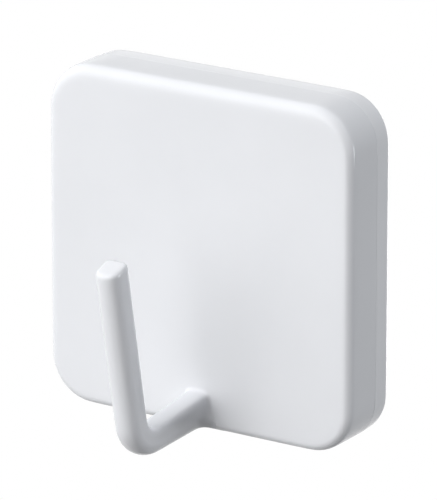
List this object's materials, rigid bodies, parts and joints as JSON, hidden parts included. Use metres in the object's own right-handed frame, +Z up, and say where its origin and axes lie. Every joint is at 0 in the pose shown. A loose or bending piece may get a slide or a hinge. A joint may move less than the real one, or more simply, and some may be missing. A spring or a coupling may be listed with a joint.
{
  "type": "magnetic hook",
  "caption": "Square white plastic magnetic hook with rounded corners, an upturned hook moulded on its face and block magnets on a steel yoke behind a rubber grip pad",
  "frame": {"origin": "the middle of the grip pad's rear face, which lies on the steel wall", "axes": "+Z up, +Y into the wall, the hook points towards -Y and +X is to the right for someone facing it"},
  "size_m": [0.05, 0.0339, 0.05],
  "materials": {
    "white_abs": "satin",
    "ferrite": "matte",
    "zinc_steel": "satin",
    "foam": "matte",
    "tape_film": "satin",
    "grip_rubber": "matte"
  },
  "bodies": {
    "root": {"front_case": "white_abs", "rear_cover": "white_abs", "magnet_upper_left": "ferrite", "magnet_upper_right": "ferrite", "magnet_lower_left": "ferrite", "magnet_lower_right": "ferrite", "yoke_plate": "zinc_steel", "foam_cushion": "foam", "pad_tape": "tape_film", "grip_pad": "grip_rubber"}
  },
  "joints": []
}
